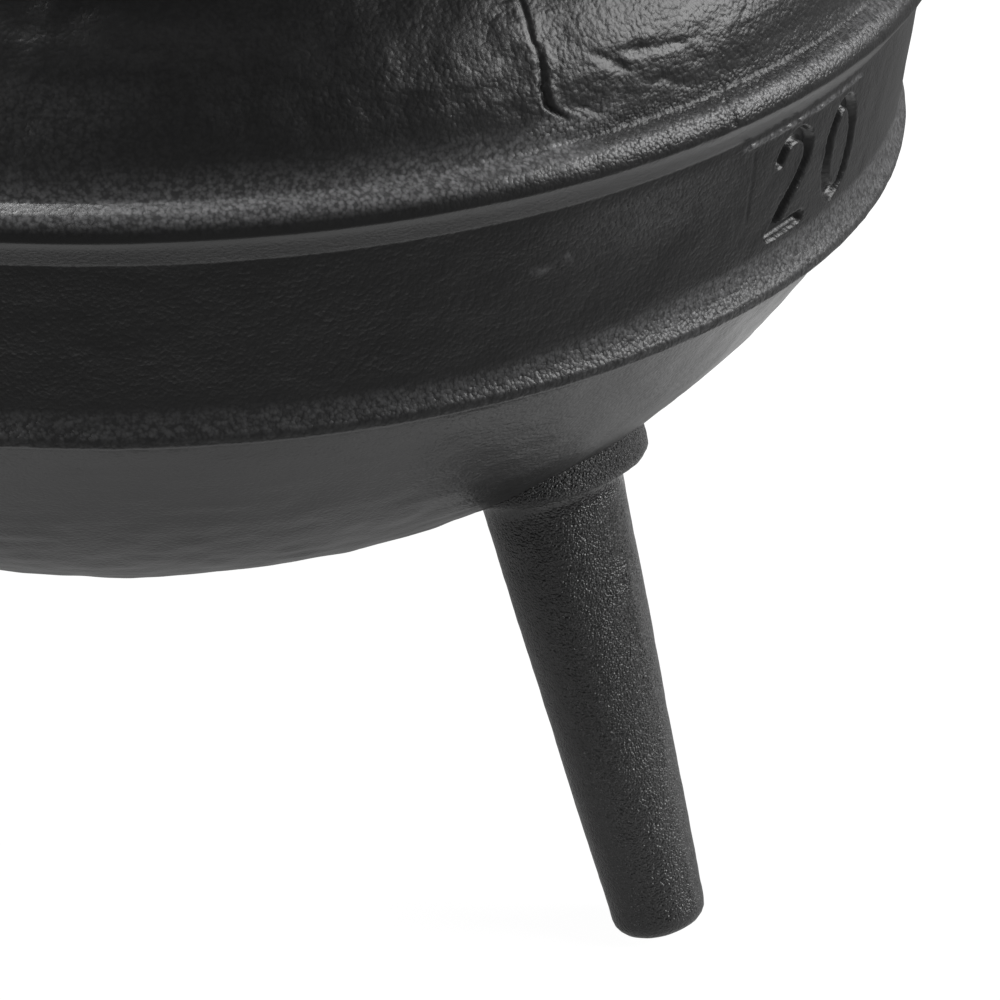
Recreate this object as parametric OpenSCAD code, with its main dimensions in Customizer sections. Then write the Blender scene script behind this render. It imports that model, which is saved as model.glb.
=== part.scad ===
// Three-legged cast iron cooking pot with a domed lid and a swinging bail.
// The origin is on the ground, under the middle of the pot, and +Z is up.
// Ears lie along X, one leg stands behind and two stand in front.

/* [Belly] */
// Radius of the bowl where it meets the lower ridge
bowl_r = 90; // [84:0.5:96]
// Depth of the bowl below the lower ridge
bowl_depth = 42; // [36:0.5:48]
// Fullness of the bowl's curve, 2 is round and 4 has a flatter bottom
bowl_fullness = 3.5; // [2.8:0.1:4.2]
// Height of the lower ridge's underside above the ground
stand_h = 89; // [82:0.5:100]
// Height of the band between the two ridges
band_h = 23.5; // [19:0.5:28]
// How much wider the band is at its top than the bowl
band_flare = 4; // [2.5:0.25:5.5]
// Thickness of the iron in the pot's wall
wall = 4; // [3:0.25:5]

/* [Ridges] */
// How far the lower ridge stands out from the bowl
low_ridge_out = 2.3; // [1.8:0.1:3]
// Height of the lower ridge with its sloping top
low_ridge_h = 4.7; // [3.8:0.1:6]
// How far the upper ridge stands out from the band
top_ridge_out = 3; // [2:0.1:4]
// Height of the slope under the upper ridge
top_ridge_slope_h = 3.9; // [3:0.1:5]
// Height of the upper ridge's upright face
top_ridge_face_h = 2.2; // [1.6:0.1:3]
// Height of the hollow from the upper ridge to the shoulder
top_ridge_root_h = 2; // [1.5:0.1:3]

/* [Shoulder, neck and rim] */
// Height of the rim above the lower ridge
rim_h = 75; // [70:0.5:82]
// How far the neck's narrowest place is inside the bowl's widest
neck_in = 10; // [8.5:0.25:11.5]
// How far the rim's lip stands out from the neck
lip_out = 5; // [4:0.25:6.5]
// Thickness of the rim's lip
lip_t = 4.8; // [4:0.1:6]
// How far the mouth's edge is inside the neck's outer face
mouth_in = 2.5; // [1.5:0.25:3.5]
// How far the neck's narrowest place is below the rim
neck_drop = 21.5; // [19:0.5:24]
// How far the shoulder's turn is above the upper ridge
shoulder_rise = 12; // [10:0.5:14]
// Radius of the shoulder's turn
shoulder_round = 18; // [12:1:22]
// Radius of the neck's hollow
neck_round = 12; // [8:1:14]

/* [Legs] */
// Angle round the pot from the rear leg to each front leg
leg_turn = 120; // [112:1:128]
// Distance from the bowl's side in to a leg's axis where it leaves the bowl
leg_root_in = 30; // [26:0.5:38]
// Angle by which a leg spreads outwards from upright
leg_splay = 16.7; // [10:0.1:20]
// Radius of a leg at its collar
leg_top_r = 8.7; // [7.5:0.1:10]
// Radius of a leg at its foot
leg_foot_r = 5.6; // [4.8:0.1:7]
// Radius of the foot's rounded edge
foot_round = 2.5; // [1.5:0.1:3.5]
// Depth of the flat worn on the foot where it stands
foot_flat = 0.4; // [0.2:0.05:0.8]
// How far a leg's collar stands out from the leg
collar_out = 3.7; // [2.5:0.1:5]
// Radius of the collar's rounded edge
collar_round = 1.3; // [0.8:0.1:1.6]
// Radius of the hollow between collar and leg
collar_fillet = 2.2; // [1.2:0.1:2.8]

/* [Ears] */
// Radius of an ear's bar
ear_bar_r = 4.5; // [3.8:0.1:5.2]
// Radius of an ear where it grows out of the shoulder
ear_root_r = 5.8; // [5:0.1:7]
// How far the ear's level bar is below the rim
ear_drop = 9; // [8:0.25:12]
// Radius of the ear's bend along the middle of its bar
ear_bend_r = 5; // [4.6:0.1:7]
// How far the ear's outer limb leans in on its way down to the shoulder
ear_lean = 16; // [10:0.5:20]

/* [Bail] */
// Radius of the bail's rod
rod_r = 2.75; // [2.2:0.05:3.2]
// Gap between the bail's eye and the ear's bar
eye_gap = 0.6; // [0.4:0.05:0.9]
// Gap between the bail's eye and the rim and the ear's limb beside it
eye_side_gap = 1.2; // [0.8:0.1:2]
// Turn of the eye round the ear's bar, in degrees
eye_turn = 270; // [240:5:275]
// Straight length of the bail's arms above the ears
bail_arm = 4; // [3:0.5:12]
// Gap between the shoulder and the bail that lies on it
bail_rest_gap = 0.35; // [0.3:0.05:0.6]

/* [Lid] */
// Thickness of the lid's flange and dome
lid_t = 4; // [3:0.25:5]
// Height of the lid's dome above its flange
dome_h = 13; // [9:0.5:16]
// How far the lid's edge is inside the rim
lid_inset = 0.5; // [0:0.1:2]
// Width of the lid's flat flange
flange_w = 9; // [8.5:0.25:12]
// Height and width of the bead where the flange meets the dome
bead = 1.6; // [1:0.1:2.2]
// Depth of the skirt that holds the lid in the mouth
skirt_h = 6; // [4:0.5:9]
// Thickness of the skirt
skirt_t = 4; // [3:0.25:5]
// Gap round the skirt in the mouth
skirt_gap = 1.5; // [1:0.1:2.5]

/* [Lid handle] */
// Length of the handle over its outer sides
handle_l = 52; // [44:1:60]
// Height of the handle above the lid
handle_h = 21; // [18:0.5:26]
// Width of the handle's bar
handle_w = 11; // [9:0.5:13]
// Thickness of the handle's bar
handle_t = 7; // [6:0.25:8.5]
// Radius of the handle's two bends along the middle of its bar
handle_bend_r = 11; // [8:0.5:13]
// How much wider the handle's feet are than its bar
handle_foot_out = 2.5; // [1.5:0.25:4]

/* [Hidden] */
$fn = 96;

iron = [0.13, 0.13, 0.135];
steel = [0.30, 0.30, 0.31];

// Steps in the bowl's curve and in each rounded corner
curve_steps = 22;
corner_steps = 7;
// Small radii that break the edges of the ridges, the rim, the lid and its handle
ridge_edge = 0.7;
ridge_hollow = 2;
rim_edge = 1.4;
mouth_edge = 0.8;
lid_edge = 1.2;
handle_edge = 2.5;
// The lower ridge bulges a little from its underside to its widest place
low_ridge_bulge = 0.2;
low_ridge_turn_share = 0.17;
low_ridge_wide_share = 0.45;
// Share of the band's flare that is reached at the top of the lower ridge
band_foot_share = 0.42;
// The shoulder starts a little outside the band's top and turns a little inside it
shoulder_foot_out = 0.4;
shoulder_in = 1.4;
// The neck opens by this much before the lip, and this share of its height above its narrowest place
neck_open = 0.6;
neck_open_share = 0.42;
// Draft of the lid's skirt on each side
skirt_draft = 0.3;
// Height of the low pad under each foot of the lid's handle, and how far its top is inside the bar
pad_h = 3;
pad_in = 0.5;
// Smallest step between two points of an outline
step = 0.1;
// How far a solid runs on into the one that it is trimmed by
overrun = 12;

// Heights above the ground
rim_z = stand_h + rim_h;
bowl_bottom_z = stand_h - bowl_depth;
band_top_z = stand_h + band_h;
top_ridge_z = band_top_z + top_ridge_slope_h;
shoulder_foot_z = top_ridge_z + top_ridge_face_h + top_ridge_root_h;
neck_z = rim_z - neck_drop;
lip_z = rim_z - lip_t;

band_r = bowl_r + band_flare;
top_ridge_r = band_r + top_ridge_out;
low_ridge_r = bowl_r + low_ridge_out;
neck_r = bowl_r - neck_in;
rim_r = neck_r + lip_out;
mouth_r = neck_r - mouth_in;

// A unit vector along v
function unit(v) = v / norm(v);

// Points of the arc that rounds corner b between a and c to radius r
function round_corner(a, b, c, r) =
    let (
        to_a = unit(a - b),
        to_c = unit(c - b),
        half = acos(to_a * to_c) / 2,
        centre = b + unit(to_a + to_c) * r / sin(half),
        from = b + to_a * r / tan(half) - centre,
        to = b + to_c * r / tan(half) - centre,
        start = atan2(from.y, from.x),
        turn = atan2(from.x * to.y - from.y * to.x, from * to)
    )
    [for (i = [0:corner_steps])
        centre + r * [cos(start + turn * i / corner_steps), sin(start + turn * i / corner_steps)]];

// A path of [x, y, radius] corners with each inner corner rounded to its radius
function rounded(corners) =
    let (last = len(corners) - 1, flat = [for (c = corners) [c.x, c.y]])
    [for (i = [0:last])
        each (i == 0 || i == last || corners[i].z == 0)
            ? [flat[i]]
            : round_corner(flat[i - 1], flat[i], flat[i + 1], corners[i].z)];

// The inner points of a path, moved to its left by the distance w
function moved_left(path, w) =
    [for (i = [1:len(path) - 2])
        let (
            before = unit(path[i] - path[i - 1]),
            after = unit(path[i + 1] - path[i]),
            side = [-before.y, before.x],
            middle = unit(side + [-after.y, after.x])
        )
        path[i] + middle * w / (middle * side)];

// The bowl's curve, steep at the lower ridge and nearly flat on the pot's axis
bowl_curve = [for (i = [0:curve_steps - 1])
    let (share = i / curve_steps)
    [bowl_r * share, bowl_bottom_z + bowl_depth * pow(share, bowl_fullness)]];

shoulder_r = band_r - shoulder_in;
shoulder_corners = [
    [shoulder_r, shoulder_foot_z + shoulder_rise - top_ridge_root_h, shoulder_round],
    [neck_r, neck_z, neck_round]
];
neck_open_z = neck_z + neck_drop * neck_open_share;

// Outside of the pot, from the bowl's lowest point to the mouth
outside = concat(
    bowl_curve,
    rounded([
        [bowl_r, stand_h, 0],
        [low_ridge_r - low_ridge_bulge, stand_h + low_ridge_h * low_ridge_turn_share, ridge_edge],
        [low_ridge_r, stand_h + low_ridge_h * low_ridge_wide_share, ridge_edge],
        [bowl_r + band_flare * band_foot_share, stand_h + low_ridge_h, ridge_hollow],
        [band_r, band_top_z, ridge_edge],
        [top_ridge_r, top_ridge_z, ridge_edge],
        [top_ridge_r, top_ridge_z + top_ridge_face_h, ridge_edge * 1.4],
        [band_r + shoulder_foot_out, shoulder_foot_z, ridge_hollow],
        each shoulder_corners,
        [neck_r + neck_open, neck_open_z, neck_round],
        [rim_r, lip_z, rim_edge],
        [rim_r, rim_z, rim_edge],
        [mouth_r, rim_z, 0]
    ])
);

// The same form without its ridges, which the inside of the wall follows
plain_outside = concat(
    bowl_curve,
    rounded([
        [bowl_r, stand_h, 0],
        [band_r, band_top_z, shoulder_round],
        each shoulder_corners,
        [neck_r, neck_open_z, 0],
        [neck_r, rim_z, 0]
    ])
);
inside = concat(
    [[0, bowl_bottom_z + wall]],
    moved_left(plain_outside, wall),
    [[mouth_r, neck_open_z], [mouth_r, rim_z - mouth_edge], [mouth_r + mouth_edge, rim_z]]
);

// Everything that the pot's outside holds, to trim what grows out of it
module pot_mass() {
    rotate_extrude() polygon(concat(outside, [[0, rim_z]]));
}

module bowl() {
    color(iron) rotate_extrude() polygon(concat(
        [for (i = [0:len(outside) - 2]) outside[i]],
        [for (i = [len(inside) - 1:-1:0]) inside[i]]
    ));
}

// A leg's axis leaves the bowl here and runs down to the ground
leg_root_reach = bowl_r - leg_root_in;
leg_root_z = bowl_bottom_z + bowl_depth * pow(leg_root_reach / bowl_r, bowl_fullness);
// Before the ground cuts it flat, the foot's lowest edge would reach foot_flat below
foot_centre_z = foot_round - foot_flat + (leg_foot_r - foot_round) * sin(leg_splay);
leg_l = foot_round + (leg_root_z - foot_centre_z) / cos(leg_splay);
collar_r = leg_top_r + collar_out;

// A leg with its collar, turned about its own axis, root at the origin and foot below
module leg_form() {
    rotate_extrude() polygon(concat(
        [[0, overrun * 2]],
        rounded([
            [collar_r, overrun * 2, 0],
            [collar_r, 0, min(collar_round, collar_out * 0.35)],
            [leg_top_r, 0, min(collar_fillet, collar_out * 0.6)],
            [leg_foot_r, -leg_l, foot_round],
            [0, -leg_l, 0]
        ])
    ));
}

// The leg at an angle round the pot, cut off by the bowl above and the ground below
module leg(angle) {
    ground = overrun * 4;
    color(iron) difference() {
        rotate([0, 0, angle]) translate([leg_root_reach, 0, leg_root_z])
            rotate([0, -leg_splay, 0]) leg_form();
        pot_mass();
        rotate([0, 0, angle]) translate([leg_root_reach, -ground / 2, -ground])
            cube([ground, ground, ground]);
    }
}

module leg_rear() { leg(90); }
module leg_front_left() { leg(90 + leg_turn); }
module leg_front_right() { leg(90 - leg_turn); }

// Hinge of the bail: the ears' level bars, which the bail's eyes go round
hinge_z = rim_z - ear_drop;
eye_r = ear_bar_r + eye_gap + rod_r;
eye_x = rim_r + eye_side_gap + rod_r;
// The outer limb leans in, so it starts far enough out to leave the eye its gap
limb_x = eye_x + (rod_r + eye_side_gap + ear_bar_r) / cos(ear_lean) + (eye_r - ear_bend_r) * tan(ear_lean);
limb_top_z = hinge_z - ear_bend_r;
limb_l = (limb_top_z - top_ridge_z - top_ridge_face_h) / cos(ear_lean);

// An ear in its own upright plane: level bar, bend and a limb that widens to its root
module ear_form() {
    translate([limb_x - ear_bend_r, 0, hinge_z]) rotate([0, -90, 0])
        cylinder(r = ear_bar_r, h = limb_x - ear_bend_r - neck_r + overrun);
    translate([limb_x - ear_bend_r, 0, limb_top_z]) rotate([90, 0, 0])
        rotate_extrude(angle = 90) translate([ear_bend_r, 0]) circle(r = ear_bar_r);
    translate([limb_x, 0, limb_top_z]) sphere(r = ear_bar_r);
    translate([limb_x, 0, limb_top_z]) rotate([0, 180 + ear_lean, 0])
        cylinder(r1 = ear_bar_r, r2 = ear_root_r, h = limb_l);
}

// The ear at an angle round the pot, trimmed where it grows out of the wall
module ear(angle) {
    color(iron) difference() {
        rotate([0, 0, angle]) ear_form();
        pot_mass();
    }
}

module ear_right() { ear(0); }
module ear_left() { ear(180); }

// The bail hangs to the rear until its bow lies on the shoulder
bail_reach = bail_arm + eye_x;
shoulder_path = [for (p = outside) if (p.y > top_ridge_z && p.y < hinge_z) p];
// Middle of the bow, seen from the side, when the bail has dropped below level by an angle
function bow_middle(drop) =
    [bail_reach * cos(drop) - eye_r * sin(drop), hinge_z - bail_reach * sin(drop) - eye_r * cos(drop)];
function bow_gap(drop) = min([for (p = shoulder_path) norm(p - bow_middle(drop))]) - rod_r;
function lowest_drop(drop) = bow_gap(drop + 0.1) < bail_rest_gap ? drop : lowest_drop(drop + 0.1);
bail_drop = lowest_drop(0);

// One side of the bail, upright: an open eye round the ear's bar, and the arm beside it
module bail_side() {
    rotate([90, 0, 90]) rotate_extrude(angle = eye_turn, start = -eye_turn)
        translate([eye_r, 0]) circle(r = rod_r);
    rotate([-eye_turn, 0, 0]) translate([0, eye_r, 0]) sphere(r = rod_r);
    translate([0, eye_r, 0]) cylinder(r = rod_r, h = bail_arm);
}

module bail() {
    color(steel) translate([0, 0, hinge_z]) rotate([-90 - bail_drop, 0, 0]) {
        for (side = [-1, 1]) translate([side * eye_x, 0, 0]) bail_side();
        translate([0, eye_r, bail_arm]) rotate([90, 0, 0])
            rotate_extrude(angle = 180) translate([eye_x, 0]) circle(r = rod_r);
    }
}

// The lid: a flat flange on the rim, a bead, a dome, and a skirt that keeps it in the mouth
lid_r = rim_r - lid_inset;
flange_z = rim_z + lid_t;
skirt_r = mouth_r - skirt_gap;
skirt_in_r = skirt_r - skirt_t;
dome_r = lid_r - flange_w;
dome_top_z = flange_z + dome_h;
// The dome is a cap of a ball
ball_r = (dome_r * dome_r + dome_h * dome_h) / (2 * dome_h);
ball_z = dome_top_z - ball_r;
bead_foot_r = dome_r - bead * 2;

// Height of the dome at radius r, at the depth t below its outer surface
function dome_z(r, t) = ball_z + sqrt(pow(ball_r - t, 2) - r * r);

// Points on the dome from one radius to another, at the depth t below its outer surface
function dome_arc(from_r, to_r, t) =
    [for (i = [0:curve_steps])
        let (r = from_r + (to_r - from_r) * i / curve_steps)
        [r, dome_z(r, t)]];

lid_top = concat(
    dome_arc(0, bead_foot_r, 0),
    rounded([
        [bead_foot_r + step, dome_z(bead_foot_r + step, 0), 0],
        [dome_r - bead, flange_z + bead, bead / 2],
        [dome_r + bead * 0.5, flange_z + bead, bead / 2],
        [dome_r + bead * 1.3, flange_z, bead / 2],
        [lid_r, flange_z, lid_edge],
        [lid_r, rim_z, lid_edge / 2],
        [skirt_r, rim_z, 0]
    ])
);
lid_under = concat(
    rounded([
        [skirt_r, rim_z - step, 0],
        [skirt_r - skirt_draft, rim_z - skirt_h, lid_edge],
        [skirt_in_r + skirt_draft, rim_z - skirt_h, lid_edge],
        [skirt_in_r, dome_z(skirt_in_r, lid_t), 0]
    ]),
    dome_arc(skirt_in_r - step, 0, lid_t)
);

module lid_mass() {
    rotate_extrude() polygon(concat(lid_top, [[0, rim_z]]));
}

module lid() {
    color(iron) rotate_extrude() polygon(concat(lid_top, lid_under));
}

// The handle is one bar with two bends, cast on to the dome on a low pad at each foot
handle_bar_x = (handle_l - handle_t) / 2;
handle_top_z = dome_top_z + handle_h - handle_t / 2;
handle_bend_x = handle_bar_x - handle_bend_r;
handle_bend_z = handle_top_z - handle_bend_r;
handle_foot_z = dome_z(handle_bar_x, 0);
// The bar and its pads start this far down, inside the dome's iron
handle_start_z = handle_foot_z - lid_t / 2;

// Cross-section of the handle's bar, thickness along x and width along y
module handle_section() {
    t = handle_t / 2;
    w = handle_w / 2;
    polygon(rounded([
        [0, -w, 0], [t, -w, handle_edge], [t, w, handle_edge],
        [-t, w, handle_edge], [-t, -w, handle_edge], [-step, -w, 0]
    ]));
}

module handle_side() {
    translate([handle_bend_x, 0, handle_bend_z]) rotate([90, 0, 0])
        rotate_extrude(angle = 90) translate([handle_bend_r, 0]) handle_section();
    translate([handle_bar_x, 0, handle_start_z])
        linear_extrude(handle_bend_z - handle_start_z) handle_section();
    translate([handle_bar_x, 0, handle_start_z])
        cylinder(r1 = handle_w / 2 + handle_foot_out, r2 = handle_w / 2 - pad_in, h = pad_h + lid_t / 2);
}

module lid_handle() {
    color(iron) difference() {
        union() {
            handle_side();
            mirror([1, 0, 0]) handle_side();
            translate([0, 0, handle_top_z]) rotate([90, 0, 90])
                linear_extrude(handle_bend_x * 2, center = true) rotate(90) handle_section();
        }
        lid_mass();
    }
}

bowl();
leg_rear();
leg_front_left();
leg_front_right();
ear_right();
ear_left();
bail();
lid();
lid_handle();
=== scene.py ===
import math
import bpy
import bmesh
import numpy as np
from mathutils import Matrix, Vector


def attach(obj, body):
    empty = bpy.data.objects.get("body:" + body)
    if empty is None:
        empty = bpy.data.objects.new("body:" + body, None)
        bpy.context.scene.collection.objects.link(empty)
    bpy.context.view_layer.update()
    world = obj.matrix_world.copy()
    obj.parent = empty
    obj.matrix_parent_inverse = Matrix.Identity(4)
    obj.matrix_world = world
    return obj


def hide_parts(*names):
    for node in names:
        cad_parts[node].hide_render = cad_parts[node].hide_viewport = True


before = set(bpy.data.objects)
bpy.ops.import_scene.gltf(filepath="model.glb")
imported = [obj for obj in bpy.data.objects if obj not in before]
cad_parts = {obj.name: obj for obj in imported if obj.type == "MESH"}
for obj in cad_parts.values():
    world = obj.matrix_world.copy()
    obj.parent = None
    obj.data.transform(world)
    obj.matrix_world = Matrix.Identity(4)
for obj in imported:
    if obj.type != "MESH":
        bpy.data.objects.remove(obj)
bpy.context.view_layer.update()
mm = 0.001
print("frame loaded:", sorted(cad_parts))


# helpers for all pieces

def newPiece(name, bm, rule, body, slot, *nodes, place=None):
    # rule gives each vertex its height in mm along its normal, the strength of its coarse and fine grain and how much
    # the tips of the grain are lightened, partly as wear and partly as painted glints; place puts the piece where it
    # belongs
    mesh = bpy.data.meshes.new(name)
    bmesh.ops.recalc_face_normals(bm, faces=bm.faces[:])
    bm.to_mesh(mesh)
    bm.free()
    count = len(mesh.vertices)
    spots, normals = np.empty(count * 3), np.empty(count * 3)
    mesh.vertices.foreach_get("co", spots)
    mesh.vertices.foreach_get("normal", normals)
    spots, normals = spots.reshape(-1, 3) / mm, normals.reshape(-1, 3)
    height, coarse, fine, worn = rule(spots, normals)
    mesh.vertices.foreach_set("co", ((spots + normals * height[:, None]) * mm).ravel())
    for label, values in (("coarse", coarse), ("fine", fine), ("worn", worn)):
        layer = mesh.attributes.new(label, "FLOAT", "POINT")
        layer.data.foreach_set("value", np.broadcast_to(values, count).astype(np.float32))
    if place is not None:
        mesh.transform(place)
    for face in mesh.polygons:
        face.use_smooth = True
    mesh.update()
    piece = bpy.data.objects.new(name, mesh)
    bpy.context.scene.collection.objects.link(piece)
    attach(piece, body)
    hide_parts(*nodes)
    print(f"  {name}: {sum(len(face.vertices) - 2 for face in mesh.polygons)} triangles")
    return piece


def profilePath(bm, corners, gap):
    # a wire in the XZ plane through (x, z, radius) corners in mm, rounded and cut into edges of about gap mm
    before = set(bm.edges)
    verts = [bm.verts.new((x * mm, 0, z * mm)) for x, z, _ in corners]
    for a, b in zip(verts, verts[1:]):
        bm.edges.new((a, b))
    for vert, (_, _, radius) in list(zip(verts, corners)):
        if radius and len(vert.link_edges) == 2:
            a, b = [(edge.other_vert(vert).co - vert.co).normalized() for edge in vert.link_edges]
            bmesh.ops.bevel(bm, geom=[vert], offset=radius * mm / math.tan(a.angle(b) / 2), segments=5, profile=0.5,
                            affect="VERTICES", material=-1)
    for edge in [edge for edge in bm.edges if edge not in before]:
        cuts = round(edge.calc_length() / (gap * mm)) - 1
        if cuts > 0:
            bmesh.ops.subdivide_edges(bm, edges=[edge], cuts=cuts)


def turnProfile(bm, start, sectors):
    # spins the wires round Z through (angle, steps) sectors in degrees; slices of twenty steps keep the spin fast
    wires = bpy.data.meshes.new("profile")
    bmesh.ops.remove_doubles(bm, verts=bm.verts[:], dist=0.01 * mm)
    bm.to_mesh(wires)
    bm.clear()
    for angle, steps in sectors:
        part = bmesh.new()
        part.from_mesh(wires)
        turn = angle * 20 / steps
        bmesh.ops.spin(part, geom=part.verts[:] + part.edges[:], cent=(0, 0, 0), axis=(0, 0, 1), dvec=(0, 0, 0),
                       angle=math.radians(turn), steps=20, use_merge=False)
        bmesh.ops.rotate(part, verts=part.verts[:], cent=(0, 0, 0), matrix=Matrix.Rotation(math.radians(start), 3, "Z"))
        for _ in range(steps // 20):
            piece = bpy.data.meshes.new("slice")
            part.to_mesh(piece)
            bm.from_mesh(piece)
            bpy.data.meshes.remove(piece)
            bmesh.ops.rotate(part, verts=part.verts[:], cent=(0, 0, 0), matrix=Matrix.Rotation(math.radians(turn), 3, "Z"))
        part.free()
        start += angle
    bpy.data.meshes.remove(wires)
    bmesh.ops.remove_doubles(bm, verts=bm.verts[:], dist=0.004 * mm)
    bmesh.ops.recalc_face_normals(bm, faces=bm.faces[:])


def ringOf(bm, radius, segments, place):
    # an open circle of edges, to be carried along a bar
    made = bmesh.ops.create_circle(bm, cap_ends=False, segments=segments, radius=radius * mm)
    bmesh.ops.transform(bm, matrix=place, verts=made["verts"])
    return list(dict.fromkeys(edge for vert in made["verts"] for edge in vert.link_edges))


def carryOn(bm, ring, shift, scale=1.0):
    # extrudes the ring once, by shift in mm, and scales the new ring about its middle
    grown = bmesh.ops.extrude_edge_only(bm, edges=ring)["geom"]
    verts = [g for g in grown if isinstance(g, bmesh.types.BMVert)]
    bmesh.ops.translate(bm, verts=verts, vec=Vector(shift) * mm)
    if scale != 1.0:
        middle = sum((v.co for v in verts), Vector()) / len(verts)
        bmesh.ops.scale(bm, verts=verts, vec=(scale,) * 3, space=Matrix.Translation(-middle))
    new = set(verts)
    return [g for g in grown if isinstance(g, bmesh.types.BMEdge) and set(g.verts) <= new]


def bendOn(bm, ring, centre, axis, angle, steps):
    # spins the ring round a line, for a bend in a bar
    verts = list(dict.fromkeys(v for e in ring for v in e.verts))
    spun = bmesh.ops.spin(bm, geom=verts + ring, cent=Vector(centre) * mm, axis=axis, dvec=(0, 0, 0),
                          angle=math.radians(angle), steps=steps, use_merge=False)
    return [g for g in spun["geom_last"] if isinstance(g, bmesh.types.BMEdge)]


def roundEnd(bm, ring, direction, radius, steps=5):
    # closes a bar's end with a half ball
    past, size = 0.0, 1.0
    for i in range(1, steps + 1):
        angle = math.pi / 2 * i / (steps + 0.35)
        nowPast, nowSize = radius * math.sin(angle), math.cos(angle)
        ring = carryOn(bm, ring, Vector(direction) * (nowPast - past), nowSize / size)
        past, size = nowPast, nowSize
    bmesh.ops.contextual_create(bm, geom=ring)


def smoothStep(low, high, value):
    t = np.clip((value - low) / (high - low), 0.0, 1.0)
    return t * t * (3 - 2 * t)


def hump(value, width):
    return np.exp(-(value / width) ** 2)


def lumps(spots, size, seed):
    # smooth noise from about -1 to 1 with lumps about size mm across, the same on every run
    p = spots / size + np.array([seed * 7.13, seed * 3.71, seed * 1.97])
    cell = np.floor(p).astype(np.int64)
    part = p - cell
    fade = part ** 3 * (part * (part * 6 - 15) + 10)
    total = np.zeros(len(p))
    for corner in [(x, y, z) for x in (0, 1) for y in (0, 1) for z in (0, 1)]:
        c = cell + corner
        mixed = (c[:, 0] * 73856093) ^ (c[:, 1] * 19349663) ^ (c[:, 2] * 83492791)
        mixed = ((mixed ^ (mixed >> 13)) * 1274126177) & 0x7FFFFFFF
        mixed ^= mixed >> 11
        turn = (mixed & 1023) * (2 * math.pi / 1024)
        rise = ((mixed >> 10) & 1023) / 511.5 - 1
        flat = np.sqrt(1 - rise ** 2)
        gap = part - corner
        pull = flat * np.cos(turn) * gap[:, 0] + flat * np.sin(turn) * gap[:, 1] + rise * gap[:, 2]
        total += np.prod(np.where(corner, fade, 1 - fade), axis=1) * pull
    return total * 1.7


# pot

pot = dict(
    bowlR=90, bowlDepth=42, bowlFullness=3.5, standH=89, bandH=23.5, bandFlare=4, wall=4,
    lowRidgeOut=2.3, lowRidgeH=4.7, topRidgeOut=3, topRidgeSlopeH=3.9, topRidgeFaceH=2.2, topRidgeRootH=2,
    rimH=75, rimR=85, mouthR=77.5, lipT=4.8, neckR=80, neckDrop=21.5, shoulderRise=12,
    seamAt=-53.9, nickAt=-39.8, numberAt=-26.7,   # degrees round the pot
    castLumps=0.10, shoulderLumps=0.26, seamDepth=0.62, numberDepth=0.95, strokeW=1.95,
    frontStart=-96, frontAngle=110, frontSteps=180, backSteps=100,
)

rimZ = pot["standH"] + pot["rimH"]
bottomZ = pot["standH"] - pot["bowlDepth"]
bandTopZ = pot["standH"] + pot["bandH"]
bandR = pot["bowlR"] + pot["bandFlare"]
ridgeZ = bandTopZ + pot["topRidgeSlopeH"]
ridgeR = bandR + pot["topRidgeOut"]
lowRidgeR = pot["bowlR"] + pot["lowRidgeOut"]
shoulderFootZ = ridgeZ + pot["topRidgeFaceH"] + pot["topRidgeRootH"]
neckZ = rimZ - pot["neckDrop"]
neckOpenZ = neckZ + pot["neckDrop"] * 0.42


def bowlZ(radius):
    return bottomZ + pot["bowlDepth"] * (radius / pot["bowlR"]) ** pot["bowlFullness"]


def strokePoints():
    # middle lines of the number's strokes: across and up, in mm
    bend = np.radians(np.linspace(168, -38, 30))
    loop = np.radians(np.linspace(0, 360, 80))
    two = np.concatenate([
        np.stack([2.9 * np.cos(bend), 3.0 + 2.9 * np.sin(bend)], 1),
        np.stack([np.linspace(2.28, -3.0, 30), np.linspace(1.2, -5.7, 30)], 1),
        np.stack([np.linspace(-3.0, 3.1, 24), np.full(24, -5.75)], 1)])
    zero = np.stack([2.9 * np.cos(loop), 5.75 * np.sin(loop)], 1)
    return np.concatenate([two + (-5.4, 0.1), zero + (5.8, 0)])


def numberMark(spots, along, up):
    # a plain number cast into the band, with crumbs of iron along its edges
    strokes = strokePoints()
    gap = np.hypot(strokes[:, 0] - along[:, None], strokes[:, 1] - up[:, None]).min(axis=1) - pot["strokeW"] / 2
    crumbs = lumps(spots, 0.8, 31)
    height = -pot["numberDepth"] * (1 - smoothStep(-0.5, 0.05, gap + crumbs * 0.04))
    return height + 0.07 * hump(gap - 0.28, 0.24) * (0.2 + 1.8 * np.maximum(crumbs, 0))


def plateEdge(spots, along, up):
    # the broken flash line over the number, and the faint upright joint of its plate
    level = np.where((along > -15) & (along < 9), up - 8.0, 9)
    upright = np.where((up > -1.5) & (up < 7), along + 13.6, 9)
    beads = np.maximum(lumps(spots, 0.7, 12) + 0.3, 0)
    return 0.34 * hump(level, 0.26) * (0.3 + beads) - 0.12 * hump(upright, 0.22)


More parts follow.
